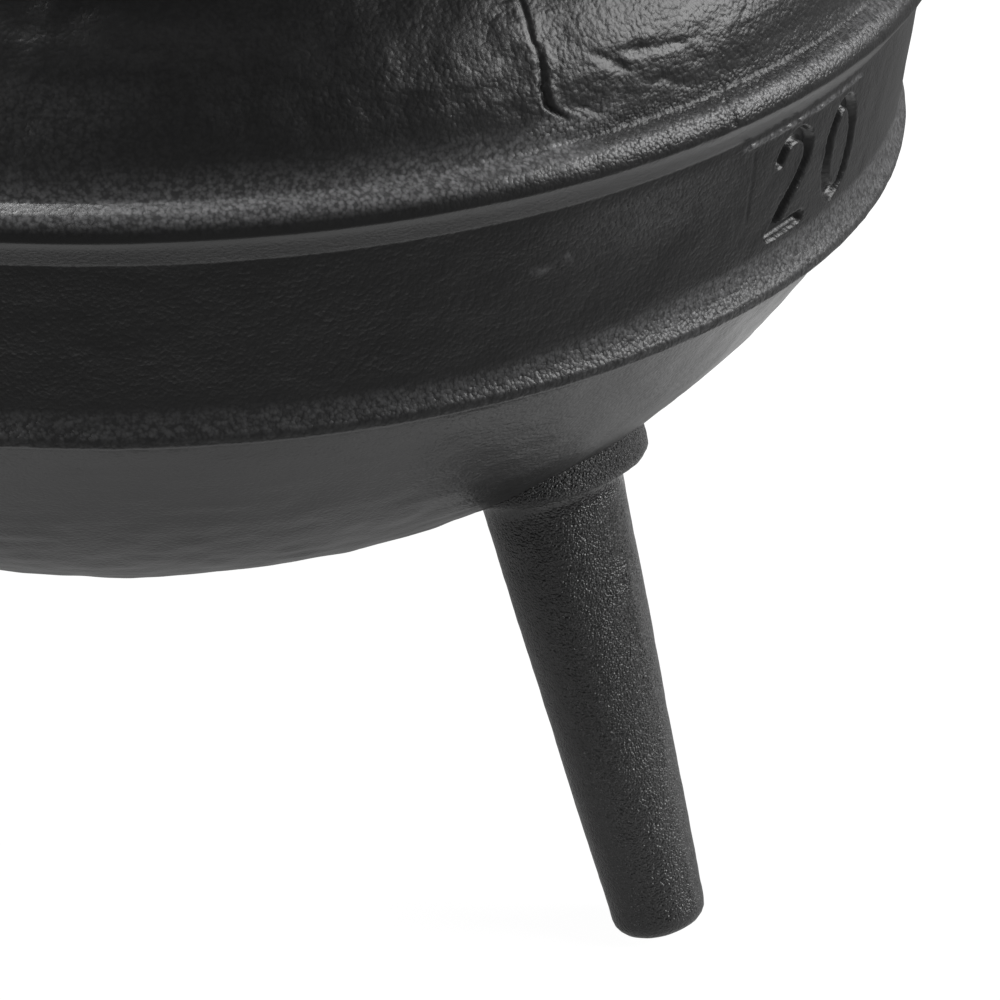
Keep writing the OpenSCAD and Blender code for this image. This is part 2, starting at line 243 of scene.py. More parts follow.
def seamMark(spots, turn, z, at, depth):
    # an upright mould seam that dies out above the upper ridge
    column = np.stack([np.full(len(z), float(at)), np.zeros(len(z)), z], 1)
    wander = 0.5 * lumps(column, 7, 5) + 0.4 * lumps(column, 2.2, 6) + 0.25 * lumps(column, 0.9, 7)
    kink = 2.8 * (1 - smoothStep(121.6, 125.2, z))
    across = (turn - at) * math.radians(92) - wander - kink
    strength = smoothStep(120.8, 123.6, z) * (1 - 0.6 * smoothStep(127, 130.5, z)) * (1 - smoothStep(146, 150, z))
    ragged = 0.85 + 0.4 * lumps(spots, 1.3, 17)
    groove = -depth * hump(across, 0.30) * ragged
    flash = (0.16 * hump(across - 0.9, 0.6) + 0.06 * hump(across + 0.9, 0.6)) * np.maximum(ragged, 0)
    return strength * (groove + flash)


def shoulderMarks(spots, turn, z):
    # the wrinkled patch right of the seam, its two folds, and short grooves left of the seam
    patch = hump(turn + 43, 7.5) * smoothStep(120.6, 121.8, z) * (1 - smoothStep(126, 131, z))
    beads = 0.09 * lumps(spots, 1.9, 8) + 0.05 * lumps(spots, 1.2, 27) - 0.05
    folds = 0.36 * hump(turn + 48.2, 1.6) * hump(z - 127.1 + 0.95 * (turn + 48.2), 0.5)
    folds += 0.26 * hump(turn + 44.4, 3.6) * hump(z - 127.2 + 0.22 * (turn + 44.4) - 0.6 * lumps(spots, 2.2, 30), 0.36)
    folds += 0.22 * hump(turn + 44.2, 2.8) * hump(z - 123.3 + 0.5 * (turn + 44.2) - 0.7 * lumps(spots, 2.2, 29), 0.4)
    folds += 0.30 * hump(turn + 50.2, 1.3) * hump(z - 122.7 + 0.9 * (turn + 50.2), 0.4)
    height = patch * beads - folds * np.maximum(0.9 + 1.1 * lumps(spots, 1.3, 21), 0)
    side = hump(turn + 60, 4) * (hump(z - 124.8, 0.5) + hump(z - 127.5, 0.5) + 0.7 * hump(z - 130.6, 0.5))
    return height - 0.3 * side * np.maximum(0.3 + lumps(spots, 1.8, 28), 0)


# strength of the pot's grain and how much its tips are lightened, partly wear and partly painted glint, by height in mm
potGrain = dict(
    z=[87.5, 89.0, 91.0, 91.4, 93.4, 94.4, 96.5, 111.5, 113.0, 116.0, 116.8, 117.8, 118.6, 119.6, 120.8, 122.0, 124.0],
    coarse=[0.3, 0.3, 0.5, 0.7, 0.7, 0.4, 0.35, 0.35, 0.1, 0.1, 0.2, 0.25, 0.25, 0.25, 0.3, 0.4, 0.55],
    fine=[0.28, 0.28, 0.5, 0.75, 0.75, 0.5, 0.28, 0.28, 0.15, 0.15, 0.25, 0.35, 0.35, 0.3, 0.3, 0.28, 0.25],
    worn=[0.0, 0.05, 0.4, 0.8, 0.8, 0.1, 0.03, 0.03, 0.0, 0.0, 0.0, 0.1, 0.8, 1.0, 0.95, 0.4, 0.05],
)


def potSkin(spots, normals):
    x, y, z = spots.T
    radius, turn = np.hypot(x, y), np.degrees(np.arctan2(y, x))
    inside = ((normals[:, 0] * x + normals[:, 1] * y < 0) & (z > bottomZ + 3)) | ((radius < 62) & (normals[:, 2] > 0.2))
    even = 0.6 * lumps(spots, 26, 1) + 0.4 * lumps(spots, 9, 2)
    height = pot["castLumps"] * even - 0.06
    shoulder = smoothStep(120.5, 123, z) * (1 - smoothStep(150, 156, z))
    rough = 0.6 * lumps(spots, 5.0, 3) + 0.35 * lumps(spots, 2.8, 4) + 0.16 * lumps(spots, 1.7, 19)
    bolder = 0.6 + 0.6 * (1 - smoothStep(-58, -50, turn)) - 0.2 * smoothStep(128, 134, z) + 0.4 * hump(turn + 63, 7)
    height += shoulder * pot["shoulderLumps"] * rough * bolder
    near = (z > 119) & (z < 134) & (turn > -75) & (turn < -20) & ~inside
    height[near] += shoulderMarks(spots[near], turn[near], z[near])
    band = smoothStep(94, 96, z) * (1 - smoothStep(111, 113, z))
    height += band * (0.05 * lumps(spots, 2.2, 9) + 0.09 * lumps(spots, 4.2, 32))
    streaks = lumps(np.stack([radius, turn * 0.35, z], 1), 2.4, 33)
    height += (z < 89) * (0.13 * streaks + 0.11 * lumps(spots, 3.4, 34))
    ridge = smoothStep(115.5, 116.5, z) * (1 - smoothStep(120, 121.5, z))
    ridgeRough = 0.3 + 0.7 * smoothStep(-72, -50, turn) * (1 - smoothStep(0, 30, turn))
    height += ridge * ((0.08 * lumps(spots, 2.6, 10) + 0.05 * lumps(spots, 1.7, 23)) * ridgeRough - 0.1)
    lowRidge = smoothStep(88.6, 89.4, z) * (1 - smoothStep(93, 94.5, z))
    height += lowRidge * (0.04 * lumps(spots, 1.8, 11) + 0.02 * lumps(spots, 3.4, 24))
    for at, depth in ((pot["seamAt"], pot["seamDepth"]), (pot["seamAt"] + 180, 0.35)):
        near = (z > 120) & (np.abs(turn - at) < 6) & ~inside
        height[near] += seamMark(spots[near], turn[near], z[near], at, depth)
    across = (turn - pot["nickAt"]) * math.radians(97)
    atRidge = smoothStep(116.6, 117.4, z) * (1 - smoothStep(119.3, 120, z))
    height += atRidge * (0.25 * hump(across + 1.0, 0.45) - 0.45 * hump(across, 0.35))
    near = (np.abs(turn - pot["numberAt"]) < 14) & (z > 94) & (z < 113) & ~inside
    along, up = (turn[near] - pot["numberAt"]) * math.radians(92.5), z[near] - 103.4
    number = numberMark(spots[near], along, up)
    height[near] += number + plateEdge(spots[near], along, up)
    carved = np.zeros(len(z))
    carved[near] = number < -0.06
    # scraps of iron and a rougher patch on the band, left of the number
    scraps = hump(turn + 53.2, 1.4) * hump(z - 105.6 - 0.35 * (turn + 53.2), 0.3)
    scraps += 0.8 * hump(turn + 51.8, 0.9) * hump(z - 108.6 + 0.5 * (turn + 51.8), 0.5) * lumps(spots, 0.8, 36)
    height += 0.32 * scraps * np.maximum(lumps(spots, 0.9, 14) + 0.4, 0)
    patch = hump(turn + 45, 8) * smoothStep(102, 107, z) * (1 - smoothStep(110.5, 112, z))
    # the filed stub of the gate under the pot
    gate = (1 - smoothStep(7.5, 9.5, radius)) * (z < bottomZ + 1)
    height += gate * (0.5 + 0.3 * lumps(spots, 2.4, 26))
    # the low ridge's lightened top widens to the right, and the upper ridge's outer edge is lightened there: partly
    # worn bare iron, partly a painted highlight on the side the right lamp lights
    right = smoothStep(-62, -34, turn) * (1 - smoothStep(10, 30, turn))
    level = z - 1.8 * right * smoothStep(92.6, 94.2, z) * (1 - smoothStep(96, 99, z))
    coarse, fine, worn = [np.interp(level, potGrain["z"], potGrain[key]) for key in ("coarse", "fine", "worn")]
    edge = smoothStep(-53, -50, turn) * (1 - smoothStep(-30, -16, turn))
    worn = worn * (1 - 0.85 * edge * smoothStep(118.8, 119.8, z)) + 0.2 * edge * hump(z - 118.6, 0.7)
    worn += 0.9 * hump(z - 111.4, 0.35) * smoothStep(-37, -36, turn) * (1 - smoothStep(-22, -21, turn))
    # painted shade: below 100 mm the lightened tips are dimmed away from the right side, a little less at the far left
    worn *= 1 - (0.5 - 0.2 * hump(turn + 98, 14)) * (1 - right) * (z < 100)
    foot = smoothStep(-56, -53.5, turn) * (1 - smoothStep(-50, -47, turn)) * hump(z - 122.3, 1.2)
    worn = np.maximum(worn, 0.8 * foot)
    # painted highlight: the shoulder's tips are lightened a little at the far left of the front
    worn += 0.12 * smoothStep(-78, -88, turn) * smoothStep(121, 124, z) * (1 - smoothStep(130, 134, z))
    worn = np.maximum(worn, np.maximum(0.25 * patch, np.minimum(scraps, 0.8)))
    quiet = 1 - smoothStep(121, 124, z) * (1 - hump(turn + 42, 22)) * (0.3 + 0.4 * smoothStep(128, 133, z))
    coarse, fine = coarse * quiet * np.where(z < 86, 0.75, 1) + 0.5 * foot, fine * quiet + 0.4 * patch + 0.5 * foot
    ridgeLeft = (1 - smoothStep(-72, -52, turn)) * smoothStep(115, 116, z) * (1 - smoothStep(122, 124, z))
    fine = fine + edge * (0.5 * hump(z - 118.4, 1.0) + 0.6 * hump(z - 120.9, 0.8))
    coarse = coarse + 0.5 * edge * hump(z - 120.9, 0.8)
    calm = (1 - 0.65 * ridgeLeft) * (1 - 0.7 * carved) * (1 - 0.45 * (1 - right) * smoothStep(89, 90, z) * (z < 96))
    coarse, fine = coarse * calm, fine * calm
    height, coarse, fine, worn = [np.where(inside, plain, value) for plain, value in
                                  ((0.06 * even, height), (0.5, coarse), (0.4, fine), (0.0, worn))]
    return height, coarse, fine, worn


def makePot():
    bm = bmesh.new()
    share = np.concatenate([np.linspace(0, 0.55, 22)[:-1], np.linspace(0.55, 1, 52)])
    profilePath(bm, [(pot["bowlR"] * s, bowlZ(pot["bowlR"] * s), 0) for s in share], 3)
    profilePath(bm, [
        (pot["bowlR"], pot["standH"], 0), (lowRidgeR - 0.2, 89.8, 0.7), (lowRidgeR, 91.1, 1.2), (91.25, 93.2, 4.5),
        (bandR, bandTopZ, 0.7), (ridgeR, ridgeZ, 0.7), (ridgeR, ridgeZ + pot["topRidgeFaceH"], 2.8),
        (bandR + 0.3, shoulderFootZ - 0.4, 0.8), (bandR - 1.4, shoulderFootZ + 10, 18), (pot["neckR"], neckZ, 12),
        (pot["neckR"] + 0.6, neckOpenZ, 12), (pot["rimR"], rimZ - pot["lipT"], 1.4), (pot["rimR"], rimZ, 1.4),
        (pot["mouthR"] + 0.8, rimZ, 0),
    ], 0.88)
    inside = []
    for s in np.linspace(0, 1, 26)[:-1]:
        slope = pot["bowlDepth"] * pot["bowlFullness"] / pot["bowlR"] * s ** (pot["bowlFullness"] - 1)
        length = math.hypot(1, slope) / pot["wall"]
        inside.append((pot["bowlR"] * s - slope / length, bowlZ(pot["bowlR"] * s) + 1 / length, 0))
    inside += [
        (86.2, 90.5, 2), (90.0, 114.0, 18), (88.6, 131, 14), (76.0, neckZ, 10), (76.3, neckOpenZ, 6),
        (pot["mouthR"], neckOpenZ + 5, 3), (pot["mouthR"], rimZ - 0.8, 0), (pot["mouthR"] + 0.8, rimZ, 0),
    ]
    profilePath(bm, inside, 3.6)
    turnProfile(bm, pot["frontStart"], [(pot["frontAngle"], pot["frontSteps"]),
                                        (360 - pot["frontAngle"], pot["backSteps"])])
    bm.normal_update()

    def cutFiner(turnRange, zRange, cuts):
        edges = {}
        for face in bm.faces:
            spot = face.calc_center_median()
            if zRange[0] < spot.z / mm < zRange[1] and face.normal.x * spot.x + face.normal.y * spot.y > 0 \
                    and turnRange[0] < math.degrees(math.atan2(spot.y, spot.x)) < turnRange[1]:
                edges.update(dict.fromkeys(face.edges))
        bmesh.ops.subdivide_edges(bm, edges=list(edges), cuts=cuts, use_grid_fill=True)

    cutFiner((-38.5, -16.5), (94.5, 112.2), 3)
    cutFiner((-57, -31), (116.0, 136), 1)
    cutFiner((-55.5, -49.8), (122.5, 136), 1)
    return newPiece("potBowl", bm, potSkin, "pot", "pot_iron", "bowl")


# legs

leg = dict(
    rootReach=60, splay=16.7, topR=8.7, footR=5.6, footRound=2.5, footFlat=0.4,
    collarR=12.4, collarRound=1.3, fillet=2.2, grit=0.13,
)

legRootZ = bowlZ(leg["rootReach"])
splay = math.radians(leg["splay"])
footCentreZ = leg["footRound"] - leg["footFlat"] + (leg["footR"] - leg["footRound"]) * math.sin(splay)
legL = leg["footRound"] + (legRootZ - footCentreZ) / math.cos(splay)


def groundMark(spots):
    # a small ground patch on the front right leg with a few raised scratches; gives height and how smooth it is
    x, y, z = spots.T
    turn = np.degrees(np.arctan2(y, x))
    smooth = smoothStep(-32, -27, turn) * (1 - smoothStep(-4, 2, turn))
    smooth *= smoothStep(-15.2, -14.4, z) * (1 - smoothStep(-10.6, -9.8, z))
    height = -0.06 * smooth
    for at, low, high, tall in ((-14.1, -30, -6, 0.10), (-12.9, -20, -2, 0.04), (-12.3, -24, -4, 0.05), (-11.5, -16, -2, 0.03)):
        across = z - at + 0.024 * (turn - low)
        within = smoothStep(low, low + 4, turn) * (1 - smoothStep(high - 4, high, turn))
        height += tall * within * hump(across, 0.12) * (0.6 + 1.2 * np.maximum(lumps(spots, 0.7, 35), 0))
    return height, smooth


def makeLeg(name, node, turn, seed, marked=False):
    bm = bmesh.new()
    profilePath(bm, [
        (0, 26, 0), (leg["collarR"], 26, 0), (leg["collarR"], 0, leg["collarRound"]), (leg["topR"], 0, leg["fillet"]),
        (leg["footR"], -legL, leg["footRound"]), (0, -legL, 0),
    ], 0.62)
    turnProfile(bm, 0, [(360, 120)])
    if marked:
        edges = []
        for edge in bm.edges:
            spot = (edge.verts[0].co + edge.verts[1].co) / (2 * mm)
            if -16 < spot.z < -9 and -37 < math.degrees(math.atan2(spot.y, spot.x)) < 7:
                edges.append(edge)
        bmesh.ops.subdivide_edges(bm, edges=edges, cuts=3, use_grid_fill=True)
    place = (Matrix.Rotation(math.radians(turn), 4, "Z") @ Matrix.Translation((leg["rootReach"] * mm, 0, legRootZ * mm))
             @ Matrix.Rotation(-splay, 4, "Y"))

    def legSkin(spots, normals):
        x, y, z = spots.T
        collar = smoothStep(-0.5, 0.5, z)
        fillet = smoothStep(-4.5, -1, z) * (1 - collar)
        around = np.arctan2(y, x)
        rough = 0.3 * lumps(spots, 1.5, seed) + 0.3 * lumps(spots, 3.4, seed + 1) + 0.8 * lumps(spots, 14, seed + 2)
        seam = 0.16 * hump(np.sin(around) * 9, 1) * (1 - smoothStep(-8, -2, z)) * (0.4 + lumps(spots, 5, seed + 4))
        height = leg["grit"] * rough * (1 + 1.2 * collar - 0.5 * fillet) + seam
        fine = (1 + 0.4 * collar - 0.7 * fillet) * (1 - 0.4 * smoothStep(-25, -50, z))
        worn = 0.04 + 0.2 * collar - 0.04 * fillet
        if marked:
            mark, smooth = groundMark(spots)
            height, fine = height + mark, fine * (1 - 0.45 * smooth)
        return height, 0.4 + 0.6 * collar - 0.3 * fillet, fine, worn

    piece = newPiece(name, bm, legSkin, "pot", "pot_iron", node, place=place)
    # the root ends inside the wall's iron, and the foot on the ground
    count = len(piece.data.vertices)
    spots = np.empty(count * 3)
    piece.data.vertices.foreach_get("co", spots)
    spots = spots.reshape(-1, 3) / mm
    axis = np.array(place.to_3x3() @ Vector((0, 0, 1)))
    for _ in range(14):
        radius = np.minimum(np.hypot(spots[:, 0], spots[:, 1]), 88)
        past = np.maximum(spots[:, 2] - bowlZ(radius) - 1.4, 0)
        spots -= past[:, None] * 0.7 * axis
    spots[:, 2] = np.maximum(spots[:, 2], 0)
    piece.data.vertices.foreach_set("co", (spots * mm).ravel())
    piece.data.update()
    return piece


# ears

ear = dict(barR=4.5, rootR=5.8, drop=9, bendR=5, lean=16, flareR=8.2, grit=0.13)
hingeZ = rimZ - ear["drop"]
eyeR = ear["barR"] + 0.6 + 2.75
eyeX = pot["rimR"] + 1.2 + 2.75
lean = math.radians(ear["lean"])
limbX = eyeX + (2.75 + 1.2 + ear["barR"]) / math.cos(lean) + (eyeR - ear["bendR"]) * math.tan(lean)
limbTopZ = hingeZ - ear["bendR"]
limbL = (limbTopZ - ridgeZ - pot["topRidgeFaceH"]) / math.cos(lean)


def makeEar(name, node, turn, seed):
    bm = bmesh.new()
    start = Matrix.Translation((78.2 * mm, 0, hingeZ * mm)) @ Matrix.Rotation(math.pi / 2, 4, "Y")
    ring = ringOf(bm, ear["barR"] * 1.1, 40, start)
    bmesh.ops.contextual_create(bm, geom=ring)
    reach = [78.2, 80.0, 81.2, 82.6, 84.0, 85.4, 86.6, 88, 90, 92, limbX - ear["bendR"]]
    size = [1.1, 1.34, 1.30, 1.2, 1.1, 1.03, 1, 1, 1, 1, 1]
    for i in range(1, len(reach)):
        ring = carryOn(bm, ring, (reach[i] - reach[i - 1], 0, 0), size[i] / size[i - 1])
    ring = bendOn(bm, ring, (limbX - ear["bendR"], 0, limbTopZ), (0, 1, 0), 90, 14)
    ring = bendOn(bm, ring, (limbX - 12, 0, limbTopZ), (0, 1, 0), ear["lean"], 3)

    def limbSize(share):   # the limb widens to its root and flares where it meets the shoulder
        grown = 1 + (ear["rootR"] / ear["barR"] - 1) * share
        return grown + (ear["flareR"] - ear["rootR"]) / ear["barR"] * smoothStep(0.62, 1.0, share)

    steps = 26
    for i in range(steps):
        ring = carryOn(bm, ring, np.array((-math.sin(lean), 0, -math.cos(lean))) * limbL / steps,
                       limbSize((i + 1) / steps) / limbSize(i / steps))
    bmesh.ops.contextual_create(bm, geom=ring)

    def earSkin(spots, normals):
        seam = 0.2 * hump(spots[:, 1], 0.5) * (0.3 + np.maximum(lumps(spots, 5, seed + 4), 0))
        return ear["grit"] * (0.5 * lumps(spots, 1.6, seed) + 0.6 * lumps(spots, 4, seed + 1)) + seam - 0.22, 0.5, 0.8, 0.2

    return newPiece(name, bm, earSkin, "pot", "pot_iron", node, place=Matrix.Rotation(math.radians(turn), 4, "Z"))


# bail

bail = dict(rodR=2.75, eyeTurn=270, arm=4, dropped=6.9, dents=0.06)


def makeBail():
    # drawn upright about the hinge: arm, bow and arm in one run, then an eye at each end
    bm = bmesh.new()
    first = ringOf(bm, bail["rodR"], 28, Matrix.Translation((eyeX * mm, eyeR * mm, 0)))
    ring = carryOn(bm, first, (0, 0, bail["arm"]))
    ring = bendOn(bm, ring, (0, eyeR, bail["arm"]), (0, -1, 0), 180, 130)
    ring = carryOn(bm, ring, (0, 0, -bail["arm"]))
    for end, x in ((ring, -eyeX), (first, eyeX)):
        end = bendOn(bm, end, (x, 0, 0), (-1, 0, 0), bail["eyeTurn"], 48)
        roundEnd(bm, end, (0, -1, 0), bail["rodR"])
    bmesh.ops.remove_doubles(bm, verts=bm.verts[:], dist=0.004 * mm)

    def rodSkin(spots, normals):
        return bail["dents"] * (lumps(spots, 7, 61) + 0.5 * lumps(spots, 2.4, 62)) - 0.07, 0.4, 0.4, 0.5

    place = Matrix.Translation((0, 0, hingeZ * mm)) @ Matrix.Rotation(math.radians(-90 - bail["dropped"]), 4, "X")
    return newPiece("bailRod", bm, rodSkin, "bail", "bail_steel", "bail", place=place)


# lid

lid = dict(
    thick=4, domeH=13, inset=0.5, flangeW=9, bead=1.6, skirtH=6, skirtT=4, skirtGap=1.5, castLumps=0.13,
    handleL=52, handleH=21, handleW=11, handleT=7, handleBend=11,
)
lidR = pot["rimR"] - lid["inset"]
flangeZ = rimZ + lid["thick"]
skirtR = pot["mouthR"] - lid["skirtGap"]
domeR = lidR - lid["flangeW"]
domeTopZ = flangeZ + lid["domeH"]
ballR = (domeR ** 2 + lid["domeH"] ** 2) / (2 * lid["domeH"])
ballZ = domeTopZ - ballR


def domeZ(radius, depth=0.0):
    return ballZ + math.sqrt((ballR - depth) ** 2 - radius ** 2)


def makeLid():
    bm = bmesh.new()
    bead = lid["bead"]
    skirtIn = skirtR - lid["skirtT"]
    profilePath(bm, [(r, domeZ(r), 0) for r in np.linspace(0, domeR - bead * 2, 48)] + [
        (domeR - bead, flangeZ + bead, bead / 2), (domeR + bead * 0.5, flangeZ + bead, bead / 2),
        (domeR + bead * 1.3, flangeZ, bead / 2), (lidR, flangeZ, 1.2), (lidR, rimZ, 0.6), (skirtR, rimZ, 0.3),
        (skirtR - 0.3, rimZ - lid["skirtH"], 1.2), (skirtIn + 0.3, rimZ - lid["skirtH"], 1.2),
        (skirtIn, domeZ(skirtIn, lid["thick"]), 0),
    ] + [(r, domeZ(r, lid["thick"]), 0) for r in np.linspace(skirtIn - 1, 0, 24)], 1.3)
    turnProfile(bm, 0, [(360, 320)])

    def lidSkin(spots, normals):
        rough = 0.5 * lumps(spots, 22, 41) + 0.35 * lumps(spots, 6, 42) + 0.4 * lumps(spots, 2.6, 43)
        return lid["castLumps"] * rough - 0.1, 0.7, 0.6, 0.1

    return newPiece("lidDome", bm, lidSkin, "lid", "lid_iron", "lid")


def makeHandle():
    bm = bmesh.new()
    barX = (lid["handleL"] - lid["handleT"]) / 2
    topZ = domeTopZ + lid["handleH"] - lid["handleT"] / 2
    bendX, bendZ = barX - lid["handleBend"], topZ - lid["handleBend"]
    footZ = domeZ(barX)
    bmesh.ops.create_grid(bm, x_segments=1, y_segments=1, size=0.5)
    bmesh.ops.delete(bm, geom=bm.faces[:], context="FACES_ONLY")
    bmesh.ops.scale(bm, verts=bm.verts[:], vec=(lid["handleT"] * mm, lid["handleW"] * mm, 1))
    bmesh.ops.bevel(bm, geom=bm.verts[:], offset=2.5 * mm, segments=7, profile=0.5, affect="VERTICES", material=-1)
    bmesh.ops.subdivide_edges(bm, edges=[e for e in bm.edges if e.calc_length() > 1.2 * mm], cuts=5)
    bmesh.ops.translate(bm, verts=bm.verts[:], vec=Vector((barX, 0, footZ - 2)) * mm)
    ring = bm.edges[:]
    bmesh.ops.contextual_create(bm, geom=ring)
    rise = [-2, -1.6, -0.8, 0, 0.8, 1.6, 2.4, 3.2, 4.2, 5.2, 6.2, 7.2]
    rise = [h for h in rise if footZ + h < bendZ - 0.4] + [bendZ - footZ]
    wide = [1.0] + [1 + 0.42 * float(1 - smoothStep(-2.2, 5.4, h)) ** 1.6 for h in rise[1:]]
    for i in range(1, len(rise)):
        ring = carryOn(bm, ring, (0, 0, rise[i] - rise[i - 1]), wide[i] / wide[i - 1])
    ring = bendOn(bm, ring, (bendX, 0, bendZ), (0, -1, 0), 90, 22)
    for _ in range(20):
        ring = carryOn(bm, ring, (-bendX / 10, 0, 0))
    ring = bendOn(bm, ring, (-bendX, 0, bendZ), (0, -1, 0), 90, 22)
    for i in range(len(rise) - 1, 0, -1):
        ring = carryOn(bm, ring, (0, 0, rise[i - 1] - rise[i]), wide[i - 1] / wide[i])
    bmesh.ops.contextual_create(bm, geom=ring)

    def handleSkin(spots, normals):
        seam = 0.22 * hump(spots[:, 1], 0.5) * (0.3 + np.maximum(lumps(spots, 6, 54), 0))
        return 0.15 * (0.5 * lumps(spots, 2, 51) + 0.6 * lumps(spots, 6, 52)) + seam - 0.28, 0.6, 0.7, 0.2

    return newPiece("lidHandle", bm, handleSkin, "lid", "lid_iron", "lid_handle")


print("modelling")
potBowl = makePot()
legs = [makeLeg("legRear", "leg_rear", 90, 70), makeLeg("legFrontLeft", "leg_front_left", 210, 80),
        makeLeg("legFrontRight", "leg_front_right", -30, 90, marked=True)]
ears = [makeEar("earRight", "ear_right", 0, 100), makeEar("earLeft", "ear_left", 180, 110)]
bailRod = makeBail()
lidDome = makeLid()
lidHandle = makeHandle()


# finishes

def newGroup(name, inputs, outputs):
    tree = bpy.data.node_groups.new(name, "ShaderNodeTree")
    for label, kind, value in inputs:
        socket = tree.interface.new_socket(name=label, in_out="INPUT", socket_type=kind)
        if value is not None:
            socket.default_value = value
    for label, kind in outputs:
        tree.interface.new_socket(name=label, in_out="OUTPUT", socket_type=kind)
    return tree, tree.nodes.new("NodeGroupInput"), tree.nodes.new("NodeGroupOutput")


def addNode(tree, kind, settings=None, **links):
    node = tree.nodes.new(kind)
    for key, value in (settings or {}).items():
        setattr(node, key, value)
    for key, value in links.items():
        wire(tree, value, node.inputs[key.replace("_", " ")])
    return node


def wire(tree, value, socket):
    if isinstance(value, bpy.types.NodeSocket):
        tree.links.new(value, socket)
    else:
        socket.default_value = value


def calc(tree, operation, a, b=None, c=None):
    node = tree.nodes.new("ShaderNodeMath")
    node.operation = operation
    for value, socket in zip((a, b, c), node.inputs):
        if value is not None:
            wire(tree, value, socket)
    return node.outputs[0]


def remap(tree, value, fromLow, fromHigh, toLow, toHigh):
    node = tree.nodes.new("ShaderNodeMapRange")
    for item, socket in zip((value, fromLow, fromHigh, toLow, toHigh), node.inputs):
        wire(tree, item, socket)
    return node.outputs[0]


def noiseAt(tree, place, scale, detail=2.0, rough=0.5):
    node = tree.nodes.new("ShaderNodeTexNoise")
    wire(tree, place, node.inputs["Vector"])
    wire(tree, scale, node.inputs["Scale"])
    wire(tree, detail, node.inputs["Detail"])
    wire(tree, rough, node.inputs["Roughness"])
    return node.outputs["Fac"]


def makeSandGrain():
    # height of the sand-cast skin: beads of two sizes with creases between them, and pits; tips are the highest beads
    tree, given, out = newGroup("sandGrain", [
        ("Place", "NodeSocketVector", None), ("Bead Size", "NodeSocketFloat", 0.42),
        ("Coarse", "NodeSocketFloat", 1.0), ("Fine", "NodeSocketFloat", 1.0), ("Pits", "NodeSocketFloat", 0.5),
    ], [("Height", "NodeSocketFloat"), ("Pit Mask", "NodeSocketFloat"), ("Tips", "NodeSocketFloat")])
    place = given.outputs["Place"]
    scale = calc(tree, "DIVIDE", 1000.0, given.outputs["Bead Size"])

    def cellsAt(share):
        cells = tree.nodes.new("ShaderNodeTexVoronoi")
        wire(tree, place, cells.inputs["Vector"])
        wire(tree, calc(tree, "MULTIPLY", scale, share), cells.inputs["Scale"])
        return cells.outputs["Distance"]

    def beadsAt(share, bead, noiseShare, noise):
        # round tops from the cells' distance, roughened by noise; about -1 to 1
        gap = cellsAt(share)
        tops = calc(tree, "MULTIPLY_ADD", calc(tree, "MULTIPLY", gap, gap), -bead, bead / 3)
        rough = noiseAt(tree, place, calc(tree, "MULTIPLY", scale, noiseShare), 1.0, 0.5)
        return calc(tree, "MULTIPLY_ADD", calc(tree, "SUBTRACT", rough, 0.5), noise, tops)

    fine = beadsAt(1.0, 1.5, 0.9, 1.6)
    coarse = beadsAt(0.5, 1.2, 0.45, 1.8)
    often = noiseAt(tree, place, calc(tree, "MULTIPLY", scale, 0.035), 2.0, 0.5)
    pit = calc(tree, "MULTIPLY", remap(tree, cellsAt(0.23), 0.08, 0.30, 1.0, 0.0), remap(tree, often, 0.5, 0.64, 0.0, 1.0))
    height = calc(tree, "MULTIPLY", fine, given.outputs["Fine"])
    height = calc(tree, "MULTIPLY_ADD", coarse, calc(tree, "MULTIPLY", given.outputs["Coarse"], 1.6), height)
    height = calc(tree, "MULTIPLY_ADD", calc(tree, "MULTIPLY", pit, given.outputs["Pits"]), -1.6, height)
    tips = calc(tree, "ADD", fine, calc(tree, "MULTIPLY", coarse, 0.8))
    tree.links.new(height, out.inputs["Height"])
    tree.links.new(pit, out.inputs["Pit Mask"])
    tree.links.new(remap(tree, tips, -0.4, 1.0, 0.0, 1.0), out.inputs["Tips"])
    return tree


def makeSeasoning():
    # how far the baked oil is worn or built up: patches, wiped streaks round the pot and rubbed edges
    tree, given, out = newGroup("seasoning", [
        ("Place", "NodeSocketVector", None), ("Streaks", "NodeSocketFloat", 0.0), ("Edge Rub", "NodeSocketFloat", 0.5),
    ], [("Dry", "NodeSocketFloat"), ("Rub", "NodeSocketFloat")])
    place = given.outputs["Place"]
    patches = noiseAt(tree, place, 38.0, 4.0, 0.6)
    flat = addNode(tree, "ShaderNodeMapping", {"vector_type": "POINT"})
    wire(tree, place, flat.inputs["Vector"])
    flat.inputs["Scale"].default_value = (1, 1, 34)
    streak = noiseAt(tree, flat.outputs["Vector"], 26.0, 3.0, 0.7)
    dry = calc(tree, "ADD", remap(tree, patches, 0.35, 0.7, 0.0, 1.0),
               calc(tree, "MULTIPLY", remap(tree, streak, 0.45, 0.72, 0.0, 1.0), given.outputs["Streaks"]))
    shape = tree.nodes.new("ShaderNodeNewGeometry")
    rub = calc(tree, "MULTIPLY", remap(tree, shape.outputs["Pointiness"], 0.51, 0.60, 0.0, 1.0), given.outputs["Edge Rub"])
    tree.links.new(calc(tree, "MINIMUM", dry, 1.5), out.inputs["Dry"])
    tree.links.new(rub, out.inputs["Rub"])
    return tree


sandGrain = makeSandGrain()
seasoning = makeSeasoning()


